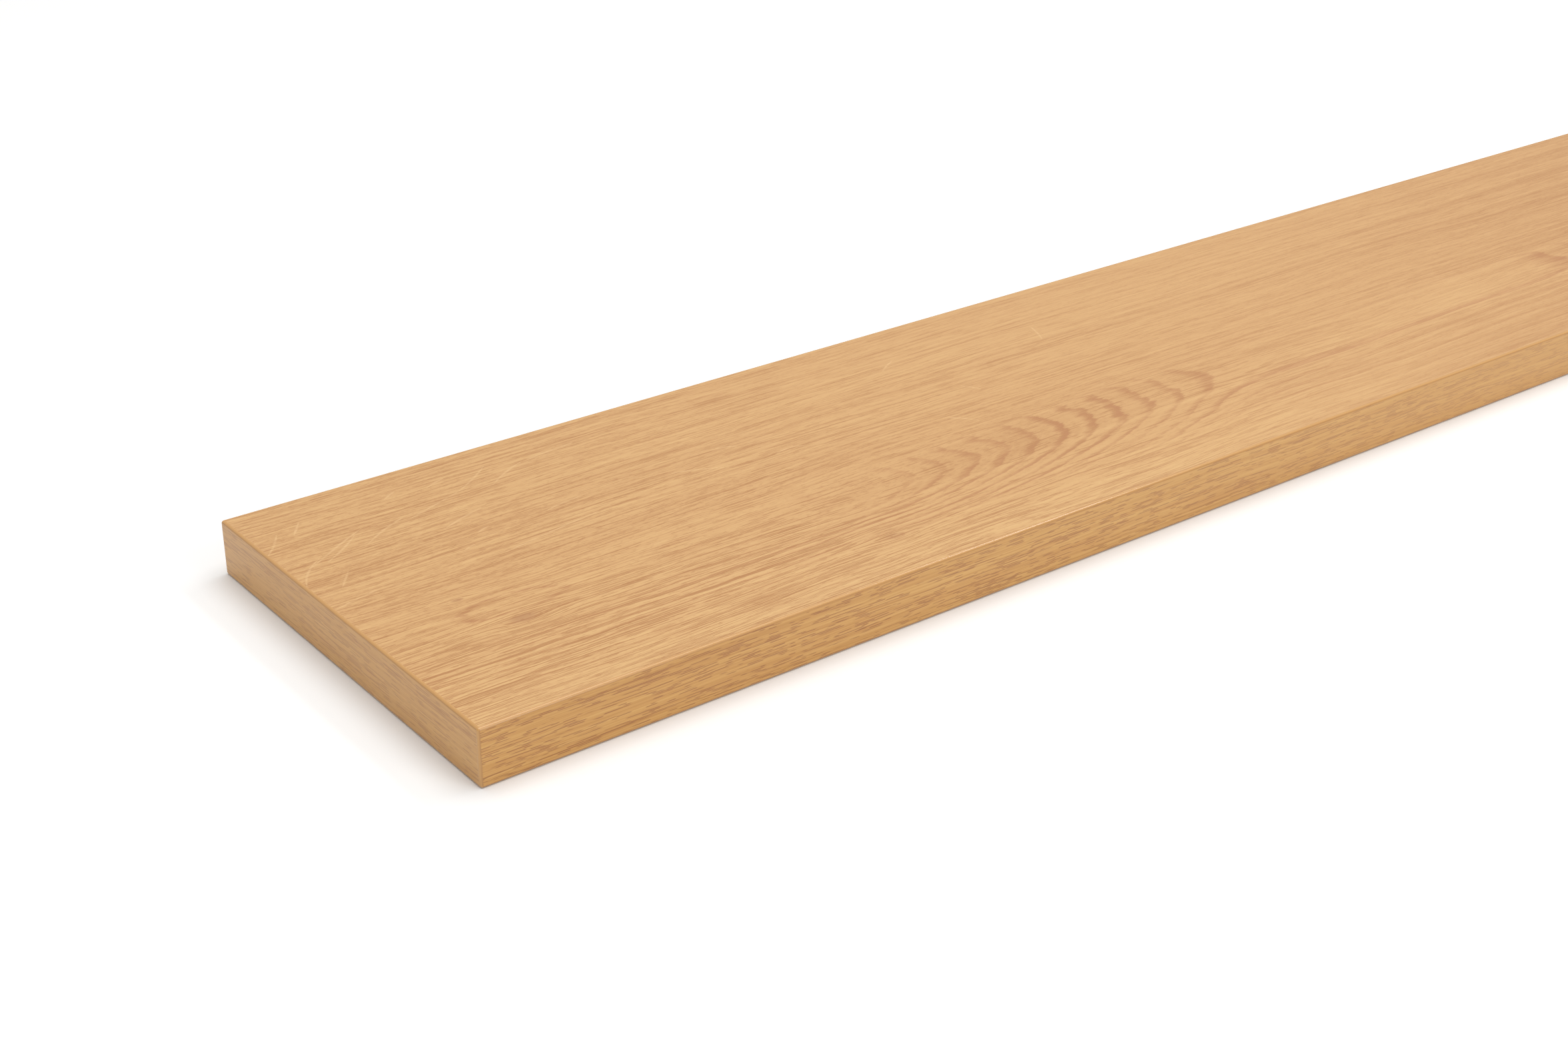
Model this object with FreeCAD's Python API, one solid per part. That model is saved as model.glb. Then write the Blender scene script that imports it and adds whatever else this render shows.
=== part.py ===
# Window sill board: a decor-faced panel with a thin plastic band glued on each of its four edges.
#
# Frame: X runs along the board, Y from the room side to the window side, Z up.
# The origin lies on the underside, in the middle of the board. All sizes are in millimetres.

import FreeCAD, Part
import os

# Driving dimensions
LENGTH = 1200.0
WIDTH = 150.0
THICKNESS = 18.0
BAND_THICKNESS = 1.0
# Flat strip that the radius cutter leaves between the rounding and the glue joint
TRIM_LAND = 0.1

# Places worked out from the driving dimensions
edge_radius = BAND_THICKNESS - TRIM_LAND
end_plane = LENGTH / 2
side_plane = WIDTH / 2
panel_end = end_plane - BAND_THICKNESS
panel_side = side_plane - BAND_THICKNESS


def slab(x_low, x_high, y_low, y_high):
    """A square-edged block over the full thickness of the board."""
    corner = FreeCAD.Vector(x_low, y_low, 0)
    return Part.makeBox(x_high - x_low, y_high - y_low, THICKNESS, corner)


def trimmed_outline():
    """The finished board's outside: every arris and corner rounded by the trimming cutters."""
    sawn = slab(-end_plane, end_plane, -side_plane, side_plane)
    return sawn.makeFillet(edge_radius, sawn.Edges)


def piece(region):
    """The one solid that the finished board has inside a region."""
    return trimmed_outline().common(region).Solids[0]


def faced_panel():
    """The panel ends at the glue joints, so the rounding never reaches its decor faces."""
    return piece(slab(-panel_end, panel_end, -panel_side, panel_side))


def end_band(side):
    """Glued on first, as long as the panel is wide; side is -1 for left and 1 for right."""
    x_low, x_high = sorted((side * panel_end, side * end_plane))
    return piece(slab(x_low, x_high, -panel_side, panel_side))


def long_band(side):
    """Glued on last, so it laps the end bands and its rounded cut ends show at the corners."""
    y_low, y_high = sorted((side * panel_side, side * side_plane))
    return piece(slab(-end_plane, end_plane, y_low, y_high))


pieces = {
    "faced_panel": faced_panel(),
    "left_end_band": end_band(-1),
    "right_end_band": end_band(1),
    "front_edge_band": long_band(-1),
    "back_edge_band": long_band(1),
}

os.makedirs("parts", exist_ok=True)
for name, solid in pieces.items():
    solid.exportStep(f"parts/{name}.step")
    print(name, "volume", round(solid.Volume, 1), "mm3, valid", solid.isValid())
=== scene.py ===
# %% [markdown]
# # A window sill board in oak decor
#
# The board is a pressed panel faced with printed oak, with a thin plastic band glued on each of
# its four edges. The frame brings the five solids at their real size. Here each of them gets the
# surface that the eye sees: a figured print, pressed grain, and bands that are printed on their
# flat side and bare where the cutter rounded them.

# %% Load the frame
import math

import bmesh
import bpy
import numpy as np
from mathutils import Matrix, Vector


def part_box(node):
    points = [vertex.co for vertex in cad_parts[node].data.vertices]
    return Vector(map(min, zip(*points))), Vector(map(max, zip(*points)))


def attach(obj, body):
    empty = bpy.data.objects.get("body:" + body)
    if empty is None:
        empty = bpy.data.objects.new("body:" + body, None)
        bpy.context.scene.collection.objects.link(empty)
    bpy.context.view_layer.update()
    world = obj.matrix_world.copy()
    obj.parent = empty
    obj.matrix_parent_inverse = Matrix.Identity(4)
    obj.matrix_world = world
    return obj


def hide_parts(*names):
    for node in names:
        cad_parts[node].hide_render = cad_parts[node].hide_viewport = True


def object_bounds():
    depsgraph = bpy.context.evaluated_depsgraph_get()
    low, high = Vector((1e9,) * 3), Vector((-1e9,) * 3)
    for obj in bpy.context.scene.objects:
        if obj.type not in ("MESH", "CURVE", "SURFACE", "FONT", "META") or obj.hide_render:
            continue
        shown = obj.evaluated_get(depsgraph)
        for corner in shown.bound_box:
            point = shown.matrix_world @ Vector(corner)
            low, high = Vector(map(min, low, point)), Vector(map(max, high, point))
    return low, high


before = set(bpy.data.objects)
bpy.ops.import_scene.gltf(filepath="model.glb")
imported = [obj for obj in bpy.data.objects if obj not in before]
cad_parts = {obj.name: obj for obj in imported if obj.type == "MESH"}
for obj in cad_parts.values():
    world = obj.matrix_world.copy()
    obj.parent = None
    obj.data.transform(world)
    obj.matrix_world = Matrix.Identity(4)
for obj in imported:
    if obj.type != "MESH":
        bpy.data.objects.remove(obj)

cad_low, cad_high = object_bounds()
panel_low, panel_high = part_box("faced_panel")
print("CAD box", [round(v, 4) for v in cad_high - cad_low], "metres")

# %% [markdown]
# Every pattern below is drawn in millimetres, counted along the board from its left end and across
# it from its front edge. That is how a maker would measure the print with a ruler, and it keeps
# every scale a real size.

# %% Measures
MM = 0.001
LENGTH, WIDTH, THICKNESS = (cad_high - cad_low) / MM
BAND = (cad_high.x - panel_high.x) / MM
ROUNDING = 0.9
print("board", round(LENGTH), "x", round(WIDTH), "x", round(THICKNESS), "mm, band", round(BAND, 2), "mm")

# %% [markdown]
# Two helpers serve every material. A colour is written as the hex value that a colour picker
# shows, and a shader wants it linear. A node is added, set and linked in one line, so that a tree
# reads like a list of steps.

# %% Helpers


def linear(hex_colour):
    """An sRGB hex colour as the linear colour that a shader socket expects."""
    channels = [int(hex_colour[i:i + 2], 16) / 255 for i in (1, 3, 5)]
    return (*[c / 12.92 if c <= 0.04045 else ((c + 0.055) / 1.055) ** 2.4 for c in channels], 1.0)


def add(tree, kind, links=(), out=0, **settings):
    """Adds one node. Its settings are properties, its links are inputs by order or by name."""
    made = tree.nodes.new(kind)
    for name, value in settings.items():
        setattr(made, name, value)
    for key, value in links.items() if isinstance(links, dict) else enumerate(links):
        if isinstance(value, bpy.types.NodeSocket):
            tree.links.new(value, made.inputs[key])
        else:
            made.inputs[key].default_value = value
    return made.outputs[out]


print("mid grey is", round(linear("#808080")[0], 3), "in linear light")

# %% [markdown]
# ## Places, streaks and spots
#
# The wood is drawn by rules, and three small tools do most of the work. One turns a point of the
# board into a place on the print. One stretches noise along the grain, which gives streaks of any
# length and width. One is a soft round hill, for knots and for stretches that are darker, quieter
# or coarser than the rest. Noise alone would be even all over, and real boards are not.

# %% Places, streaks and spots
# The underside shows the print from another place on the roll
UNDERSIDE_SHIFT = 417.0
# Each seed takes its noise from another place, this far along and across
SEED_STEP_ALONG, SEED_STEP_ACROSS = 17.31, 9.77


def print_place(tree, position):
    """A point of the board as a place on the print; the underside shows another stretch of it."""
    place = add(tree, "ShaderNodeVectorMath", [position, (1 / MM,) * 3, (LENGTH / 2, WIDTH / 2, 0.0)],
                operation="MULTIPLY_ADD")
    height = add(tree, "ShaderNodeSeparateXYZ", [place], out=2)
    under = add(tree, "ShaderNodeMath", [height, THICKNESS / 2], operation="LESS_THAN")
    return add(tree, "ShaderNodeVectorMath", [under, (UNDERSIDE_SHIFT, 0.0, 0.0), place],
               operation="MULTIPLY_ADD")


def streaks(tree, place, along, across, seed, detail=1.0):
    """Soft streaks of about that length and width, made by stretching noise along the grain."""
    shift = (seed * SEED_STEP_ALONG, seed * SEED_STEP_ACROSS, 0.0)
    stretched = add(tree, "ShaderNodeVectorMath", [place, (1 / along, 1 / across, 0.0), shift],
                    operation="MULTIPLY_ADD")
    return add(tree, "ShaderNodeTexNoise", {"Vector": stretched, "Scale": 1.0, "Detail": detail},
               noise_dimensions="2D")


def shifted(tree, value, streak, size):
    """A value moved to and fro by streaks, whose mean is a half."""
    centred = add(tree, "ShaderNodeMath", [streak, 0.5], operation="SUBTRACT")
    return add(tree, "ShaderNodeMath", [centred, size, value], operation="MULTIPLY_ADD")


def layered(tree, tone, place, layers, first_seed, detail):
    """A tone with layers of streaks added to it; each layer has a length, a width and a weight."""
    for seed, (length, width, weight) in enumerate(layers, first_seed):
        tone = shifted(tree, tone, streaks(tree, place, length, width, seed, detail), weight)
    return tone


def spot(tree, place, along, across, half_length, half_width):
    """A soft round hill, 1 in its middle, that fades out over the half sizes."""
    shift = (-along / half_length, -across / half_width, 0.0)
    scaled = add(tree, "ShaderNodeVectorMath", [place, (1 / half_length, 1 / half_width, 0.0), shift],
                 operation="MULTIPLY_ADD")
    squared = add(tree, "ShaderNodeVectorMath", [scaled, scaled], out=1, operation="DOT_PRODUCT")
    fall = add(tree, "ShaderNodeMath", [squared, -1.0], operation="MULTIPLY")
    return add(tree, "ShaderNodeMath", [fall], operation="EXPONENT")


print("the underside shows the print", UNDERSIDE_SHIFT, "mm further along")

# %% [markdown]
# ## Grain
#
# Wood fibres sway along a plank, and part round a knot like water round a stone. Streaks and rings
# all follow them. Bending each pattern by itself would let them drift apart, so the place on the
# print is bent once, and the patterns are drawn on the bent place.

# %% Grain
# Knots: place along and across, half their length and width, and how dark their heart is
KNOTS = ((40.5, 43.5, 12.0, 4.5, 0.5), (155.0, 20.5, 10.0, 3.5, 0.3), (31.0, 63.5, 5.0, 2.0, 0.5),
         (905.0, 28.0, 12.0, 4.0, 0.4))
KNOT_PUSH = 0.75
# The sway of the grain: wave length and width, and how far it swings
SWAYS = ((130.0, 38.0, 5.0), (34.0, 8.0, 1.3), (14.0, 3.0, 0.35))
# How far fibres and bends shift the rings along the board: length, width and shift
SHIFTS = ((12.0, 0.45, 4.0), (30.0, 2.4, 5.0), (60.0, 9.0, 9.0))


def grain_lines(tree, place):
    """The place on the print with the grain's sway in it, so that streaks bend round the knots."""
    along = add(tree, "ShaderNodeSeparateXYZ", [place])
    across = along.node.outputs[1]
    for seed, (length, width, swing) in enumerate(SWAYS, 1):
        across = shifted(tree, across, streaks(tree, place, length, width, seed), swing)
    for *knot, _ in KNOTS:
        hill = spot(tree, place, *knot)
        away = add(tree, "ShaderNodeMath", [across, knot[1]], operation="SUBTRACT")
        pull = add(tree, "ShaderNodeMath", [hill, -KNOT_PUSH], operation="MULTIPLY")
        across = add(tree, "ShaderNodeMath", [pull, away, across], operation="MULTIPLY_ADD")
    return add(tree, "ShaderNodeCombineXYZ", [along, across, 0.0])


def woven_fibres(tree, lines):
    """The place with the fibres' small shifts along the board in it, which make rings jagged."""
    along = add(tree, "ShaderNodeSeparateXYZ", [lines])
    across = along.node.outputs[1]
    for seed, (length, width, shift) in enumerate(SHIFTS, 4):
        along = shifted(tree, along, streaks(tree, lines, length, width, seed, detail=2.0), shift)
    return add(tree, "ShaderNodeCombineXYZ", [along, across, 0.0])


print(len(KNOTS), "knots bend the grain")

# %% [markdown]
# ## The figure of the oak
#
# A plank sawn beside the heart of a log shows straight lines where the saw runs along the growth
# rings, and nested arcs where it climbs through them. Both come from one rule: each ring is a
# constant distance from the heart, and that distance has two parts. One grows across the board,
# away from the heart line. The other grows along the board, where the saw climbs. Adding the two
# as the sides of a right triangle gives straight lines on the left and ellipses in the figure.
#
# The rule is written once, for any node tree, because the print and the pressed relief both follow it.

# %% Growth rings
RING_STEP = 13.0
# The heart lies between these two lines; rings are further apart in front of it than behind it
HEART_FRONT, HEART_BACK = 49.0, 60.5
FRONT_LINE_GAP = 2.6
BACK_LINE_GAP = 0.75
HEART_EASE = 14.0
HEART_BOW = 0.035
# The heart itself is pale wood, just past the start of a ring
HEART_RING = 0.2
# Where the saw climbs through the rings: from, to, and how gently it starts, along the board
CLIMBS = ((125.0, 322.0, 100.0), (520.0, 590.0, 40.0), (790.0, 985.0, 100.0))
CLIMB_END_EASE = 25.0


def growth_rings(tree, fibres):
    """How many rings lie between the heart and each spot of the print."""
    along = add(tree, "ShaderNodeSeparateXYZ", [fibres])
    across = along.node.outputs[1]
    beyond = add(tree, "ShaderNodeMath", [across, HEART_FRONT], operation="SUBTRACT")
    beyond = add(tree, "ShaderNodeMath", [beyond, 0.0], operation="MAXIMUM")
    bow = add(tree, "ShaderNodeMath", [beyond, beyond], operation="MULTIPLY")
    along = add(tree, "ShaderNodeMath", [bow, HEART_BOW, along], operation="MULTIPLY_ADD")
    climb = 0.0
    for start, end, ease in CLIMBS:
        run = add(tree, "ShaderNodeMath", [along, start], operation="SUBTRACT")
        ahead = add(tree, "ShaderNodeMath", [run, 0.0, ease], operation="SMOOTH_MAX")
        level = add(tree, "ShaderNodeMath", [ahead, end - start, CLIMB_END_EASE], operation="SMOOTH_MIN")
        climb = add(tree, "ShaderNodeMath", [level, climb], operation="ADD")
    aside = 0.0
    for edge, gap in ((HEART_FRONT, -FRONT_LINE_GAP), (HEART_BACK, BACK_LINE_GAP)):
        off = add(tree, "ShaderNodeMath", [across, edge], operation="SUBTRACT")
        away = add(tree, "ShaderNodeMath", [off, RING_STEP / gap], operation="MULTIPLY")
        aside = add(tree, "ShaderNodeMath", [away, aside, HEART_EASE], operation="SMOOTH_MAX")
    sides = add(tree, "ShaderNodeCombineXYZ", [climb, aside, 0.0])
    distance = add(tree, "ShaderNodeVectorMath", [sides], out=1, operation="LENGTH")
    return add(tree, "ShaderNodeMath", [distance, 1 / RING_STEP, HEART_RING], operation="MULTIPLY_ADD")


print(len(CLIMBS), "figures with arcs every", RING_STEP, "mm")

# %% [markdown]
# ## Eyes
#
# Where the saw just grazes a ring, the ring closes round a small pale spot, like an eye. Its line is
# drawn as a border part-way up a soft hill. Gaps along the grain break it, because a whole ellipse
# would look stamped.

# %% Eyes
# Place along and across, half length and half width
EYES = ((42.0, 52.5, 16.0, 6.3), (868.0, 56.0, 15.0, 5.0))
# In a range, values from the first number to the second become values from the third to the fourth
EYE_OUTSIDE = (0.26, 0.38, 0.0, 1.0)
EYE_INSIDE = (0.38, 0.5, 1.0, 0.0)
# Gaps in the line: length and width, and how much of the line is left
EYE_GAPS = (9.0, 0.7)
EYE_LEFT = (0.42, 0.6, 0.1, 1.0)
EYE_WEIGHT = 1.1


def eye_outline(tree, place, fibres, eye):
    """A broken dark line round an eye."""
    hill = spot(tree, fibres, *eye)
    outer = add(tree, "ShaderNodeMapRange", [hill, *EYE_OUTSIDE], interpolation_type="SMOOTHSTEP")
    inner = add(tree, "ShaderNodeMapRange", [hill, *EYE_INSIDE], interpolation_type="SMOOTHSTEP")
    outline = add(tree, "ShaderNodeMath", [outer, inner], operation="MULTIPLY")
    gaps = streaks(tree, place, *EYE_GAPS, seed=27)
    broken = add(tree, "ShaderNodeMapRange", [gaps, *EYE_LEFT])
    return add(tree, "ShaderNodeMath", [outline, broken], operation="MULTIPLY")


print(len(EYES), "eyes beside the figures")

# %% [markdown]
# ## Dark rings
#
# The wood that grows late in a year is darker, so each ring ends in a dark line. On this print the
# lines differ from ring to ring, break up in patches, and are strongest in the arcs. A wave texture
# would make them all alike. Here the count of rings gives the line, chance gives each ring its
# strength, and a few ranges say where on the board the lines are weaker.

# %% Dark rings
# Where in its own width a ring darkens and ends
RING_DARKENS = (0.5, 0.92, 0.0, 1.0)
RING_ENDS = (0.92, 1.0, 1.0, 0.0)
RING_SEED = 2034
RING_STRENGTH = (0.0, 1.0, 0.15, 0.9)
# The figure, and the quiet wood in front of it: place, half length and half width
FIGURE = (232.0, 39.0, 85.0, 23.0)
QUIET = (410.0, 13.0, 150.0, 24.0)
FIGURE_RINGS = 0.2
QUIET_RINGS = -0.5
# Patches of the lines: their length and width, and their strength
PATCHES = (70.0, 5.0)
PATCH_STRENGTH = (0.35, 0.6, 0.45, 1.0)
# Strength behind the heart, near the front edge, along the board, and from the heart outwards
BEHIND_HEART = (57.0, 63.0, 1.0, 0.25)
NEAR_FRONT = (15.0, 28.0, 0.35, 1.2)
INTO_FIGURE = (50.0, 170.0, 0.5, 1.3)
OUTWARDS = (3.0, 6.0, 0.3, 1.0)


def ring_shade(tree, place, lines, fibres, rings):
    """Each ring darkens towards its outer side, and no two rings are equally dark."""
    within = add(tree, "ShaderNodeMath", [rings], operation="FRACT")
    number = add(tree, "ShaderNodeMath", [rings], operation="FLOOR")
    grown = add(tree, "ShaderNodeMapRange", [within, *RING_DARKENS], interpolation_type="SMOOTHSTEP")
    ended = add(tree, "ShaderNodeMapRange", [within, *RING_ENDS], interpolation_type="SMOOTHSTEP")
    dark = add(tree, "ShaderNodeMath", [grown, ended], operation="MULTIPLY")
    seeded = add(tree, "ShaderNodeMath", [number, RING_SEED], operation="ADD")
    chance = add(tree, "ShaderNodeTexWhiteNoise", {"W": seeded}, noise_dimensions="1D")
    strength = add(tree, "ShaderNodeMapRange", [chance, *RING_STRENGTH])
    figured = spot(tree, place, *FIGURE)
    strength = add(tree, "ShaderNodeMath", [figured, FIGURE_RINGS, strength], operation="MULTIPLY_ADD")
    quiet = spot(tree, place, *QUIET)
    strength = add(tree, "ShaderNodeMath", [quiet, QUIET_RINGS, strength], operation="MULTIPLY_ADD",
                   use_clamp=True)
    patches = streaks(tree, lines, *PATCHES, seed=5)
    patchy = add(tree, "ShaderNodeMapRange", [patches, *PATCH_STRENGTH])
    along = add(tree, "ShaderNodeSeparateXYZ", [lines])
    across = along.node.outputs[1]
    fronted = add(tree, "ShaderNodeMapRange", [across, *BEHIND_HEART])
    limbs = add(tree, "ShaderNodeMapRange", [along, *INTO_FIGURE])
    outward = add(tree, "ShaderNodeMapRange", [rings, *OUTWARDS])
    trailing = add(tree, "ShaderNodeMapRange", [across, *NEAR_FRONT])
    for factor in (strength, patchy, fronted, limbs, outward, trailing):
        dark = add(tree, "ShaderNodeMath", [dark, factor], operation="MULTIPLY")
    for eye in EYES:
        outline = eye_outline(tree, place, fibres, eye)
        dark = add(tree, "ShaderNodeMath", [outline, EYE_WEIGHT, dark], operation="MULTIPLY_ADD")
    return dark


print("a ring is darkest at", RING_DARKENS[1], "of its width")

# %% [markdown]
# ## Pores and drawn lines
#
# Oak is full of fine tubes. Sawn lengthwise they show as thin dark dashes: short ones are single
# pores, long ones are rows of them. Scattered strokes would need thousands of points. Instead the
# print is cut into narrow rows, and each row is a line of noise: where the noise passes a limit, a
# dash shows. A lower limit crowds the dashes.

# %% Pores and drawn lines
# Each row takes its dashes from another stretch of noise
ROW_STRIDE = 3.71
DASH_SIDES = (0.12, 0.45, 1.0, 0.0)
DASH_ENDS = (0.0, 0.09, 0.0, 1.0)


def grain_dashes(tree, lines, length, row_gap, sparse, dense, crowd, seed):
    """Thin dashes in rows along the grain; the crowd moves the limit for a dash from sparse to dense."""
    along = add(tree, "ShaderNodeSeparateXYZ", [lines])
    counted = add(tree, "ShaderNodeMath", [along.node.outputs[1], row_gap], operation="DIVIDE")
    row = add(tree, "ShaderNodeMath", [counted], operation="FLOOR")
    within = add(tree, "ShaderNodeMath", [counted], operation="FRACT")
    off = add(tree, "ShaderNodeMath", [within, 0.5], operation="SUBTRACT")
    off = add(tree, "ShaderNodeMath", [off], operation="ABSOLUTE")
    thin = add(tree, "ShaderNodeMapRange", [off, *DASH_SIDES], interpolation_type="SMOOTHSTEP")
    place = add(tree, "ShaderNodeCombineXYZ", [along, row, 0.0])
    noise = streaks(tree, place, length, 1 / ROW_STRIDE, seed)
    limit = add(tree, "ShaderNodeMapRange", [crowd, 0.0, 1.0, sparse, dense])
    past = add(tree, "ShaderNodeMath", [noise, limit], operation="SUBTRACT")
    dash = add(tree, "ShaderNodeMapRange", [past, *DASH_ENDS], interpolation_type="SMOOTHSTEP")
    return add(tree, "ShaderNodeMath", [dash, thin], operation="MULTIPLY")


def all_dashes(tree, lines, kinds, crowd, first_seed):
    """Several kinds of dashes laid over each other."""
    marks = 0.0
    for seed, kind in enumerate(kinds, first_seed):
        dashes = grain_dashes(tree, lines, *kind, crowd, seed)
        marks = add(tree, "ShaderNodeMath", [dashes, marks], operation="MAXIMUM")
    return marks


print("a dash fills at most", 2 * DASH_SIDES[1], "of the width of its row")

# %% [markdown]
# On this decor the long lines are densest and darkest in the front part of the board, and leave the
# figure almost free. The short pores crowd towards the back, in groups, and in the dark of the rings.
# Dashes spread evenly would look like a fabric, so soft spots and ranges say how many there are where.

# %% Lines and pores of the decor
# Kinds of dashes: length, gap between rows, and the limits of the noise where they are sparse and dense
LINE_DASHES = ((60.0, 0.7, 0.7, 0.54), (20.0, 0.5, 0.66, 0.46))
PORE_DASHES = (3.2, 0.45, 0.62, 0.4)
# How many lines there are towards the front and how dark, then the change in the figure and the quiet wood
FRONT_LINES = (0.0, 1.0, 0.65, 1.0)
FRONT_INK = (0.0, 1.0, 0.6, 1.0)
FIGURE_LINES = -1.3
QUIET_INK = -0.6
# Pores crowd towards the back, in a coarse stretch, and in groups of this length and width
PORE_CROWD = (50.0, 80.0, 0.3, 0.45)
COARSE = (8.0, 105.0, 60.0, 32.0)
COARSE_PORES = 0.5
PORE_GROUPS = (90.0, 3.0)
PORE_GROUP_CROWD = (0.35, 0.65, 0.5, 1.0)


def drawn_lines(tree, place, lines, front, figured):
    """Rows of pores that read as long thin lines: dense in front, few in the figure."""
    crowd = add(tree, "ShaderNodeMapRange", [front, *FRONT_LINES])
    crowd = add(tree, "ShaderNodeMath", [figured, FIGURE_LINES, crowd], operation="MULTIPLY_ADD")
    drawn = all_dashes(tree, lines, LINE_DASHES, crowd, first_seed=21)
    inked = add(tree, "ShaderNodeMapRange", [front, *FRONT_INK])
    quiet = spot(tree, place, *QUIET)
    heard = add(tree, "ShaderNodeMath", [quiet, QUIET_INK, 1.0], operation="MULTIPLY_ADD")
    for factor in (inked, heard):
        drawn = add(tree, "ShaderNodeMath", [drawn, factor], operation="MULTIPLY")
    return drawn


def pore_marks(tree, place, lines, dark):
    """Single pores, which crowd in groups and in the dark of the rings."""
    across = add(tree, "ShaderNodeSeparateXYZ", [lines], out=1)
    crowd = add(tree, "ShaderNodeMapRange", [across, *PORE_CROWD])
    coarse = spot(tree, place, *COARSE)
    crowd = add(tree, "ShaderNodeMath", [coarse, COARSE_PORES, crowd], operation="MULTIPLY_ADD")
    groups = streaks(tree, lines, *PORE_GROUPS, seed=32)
    gathered = add(tree, "ShaderNodeMapRange", [groups, *PORE_GROUP_CROWD])
    crowd = add(tree, "ShaderNodeMath", [crowd, gathered], operation="MULTIPLY")
    crowd = add(tree, "ShaderNodeMath", [crowd, dark], operation="ADD")
    return grain_dashes(tree, lines, *PORE_DASHES, crowd, seed=10)


print("lines come in", len(LINE_DASHES), "lengths, pores are about", PORE_DASHES[0], "mm long")

# %% [markdown]
# ## Ray flecks
#
# Oak also has rays, thin sheets of pale tissue that run from the heart outwards. Where the saw meets
# them they show as pale curved strokes across the grain. A stroke could be a mesh or a painted
# picture, but as a node group it stays sharp at any size, and one group serves for all of them.

# %% One ray fleck
RAY_SIDES = (0.2, 1.2, 1.0, 0.0)
# The arch over a stroke, share times rest, is this high in its middle, and kept above this at its ends
ARCH_TOP = 0.25
ARCH_LEAST = 1e-5


def ray_fleck_group():
    """One pale stroke: a thin bowed line that tapers to both ends."""
    tree = bpy.data.node_groups.new("ray_fleck", "ShaderNodeTree")
    for name, kind in (("Place", "Vector"), ("Start", "Vector"), ("Along", "Vector"),
                       ("Across", "Vector"), ("Bow", "Float"), ("Width", "Float")):
        tree.interface.new_socket(name, in_out="INPUT", socket_type="NodeSocket" + kind)
    tree.interface.new_socket("Fleck", in_out="OUTPUT", socket_type="NodeSocketFloat")
    given = tree.nodes.new("NodeGroupInput").outputs
    away = add(tree, "ShaderNodeVectorMath", [given["Place"], given["Start"]], operation="SUBTRACT")
    share = add(tree, "ShaderNodeVectorMath", [away, given["Along"]], out=1, operation="DOT_PRODUCT")
    aside = add(tree, "ShaderNodeVectorMath", [away, given["Across"]], out=1, operation="DOT_PRODUCT")
    rest = add(tree, "ShaderNodeMath", [1.0, share], operation="SUBTRACT")
    arch = add(tree, "ShaderNodeMath", [share, rest], operation="MULTIPLY")
    bow = add(tree, "ShaderNodeMath", [arch, given["Bow"]], operation="MULTIPLY")
    off = add(tree, "ShaderNodeMath", [bow, -1 / ARCH_TOP, aside], operation="MULTIPLY_ADD")
    side = add(tree, "ShaderNodeMath", [off], operation="ABSOLUTE")
    inside = add(tree, "ShaderNodeMath", [arch, ARCH_LEAST], operation="MAXIMUM")
    taper = add(tree, "ShaderNodeMath", [inside, 0.5], operation="POWER")
    half = add(tree, "ShaderNodeMath", [taper, given["Width"]], operation="MULTIPLY")
    near = add(tree, "ShaderNodeMath", [side, half], operation="DIVIDE")
    fleck = add(tree, "ShaderNodeMapRange", [near, *RAY_SIDES], interpolation_type="SMOOTHSTEP")
    add(tree, "NodeGroupOutput", [fleck], out=slice(0))
    return tree


fleck_group = ray_fleck_group()
print("a ray fleck has", len(fleck_group.nodes), "nodes")

# %% [markdown]
# There are few strokes, and each has its own place, so they are listed one by one, in millimetres.
# Fibres that lie over a ray break its stroke up.

# %% Ray flecks
# Start, end and how far the middle bows to the left of the line between them
RAY_FLECKS = (
    ((1.0, 120.0), (9.0, 131.0), -0.5), ((13.0, 127.5), (18.0, 134.5), 0.0),
    ((1.2, 96.0), (12.0, 109.5), 1.4), ((7.5, 105.5), (31.5, 120.0), 0.3),
    ((13.0, 106.0), (27.5, 117.0), -0.5), ((28.0, 109.5), (45.0, 119.0), 0.7),
    ((9.0, 89.5), (15.0, 97.5), 0.0), ((50.0, 104.0), (67.0, 110.5), 0.5),
    ((45.5, 116.5), (67.0, 124.5), 0.0), ((67.0, 124.5), (83.0, 136.0), -0.6),
    ((78.0, 122.0), (95.0, 132.0), 0.9), ((94.5, 131.5), (115.0, 134.0), 0.3),
    ((60.5, 132.5), (69.0, 136.0), 0.2), ((46.0, 133.0), (51.5, 136.5), 0.1),
    ((57.0, 80.5), (94.0, 87.0), 0.3), ((57.5, 96.5), (62.5, 98.5), 0.2),
    ((82.0, 97.0), (96.0, 99.2), 0.5), ((48.0, 88.5), (53.0, 90.5), 0.2),
    ((1.0, 78.5), (17.0, 82.5), 0.4), ((127.0, 96.0), (143.0, 89.5), 0.6),
    ((147.0, 102.5), (156.0, 100.0), 0.9), ((162.0, 87.5), (174.0, 87.5), 1.5),
    ((233.0, 120.0), (242.0, 125.5), 0.3), ((298.0, 109.0), (303.0, 121.0), -0.4),
    ((246.0, 94.5), (250.0, 88.0), 0.3), ((224.0, 77.0), (232.0, 68.5), 0.8),
)
RAY_WIDTH = 1.0
# The strokes come round again, as on a printing cylinder
RAY_REPEAT = 640.0
# Fibres that break a stroke: length and width, and how much of it is left
RAY_FIBRES = (4.0, 0.5)
RAY_LEFT = (0.35, 0.6, 0.3, 1.0)


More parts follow.
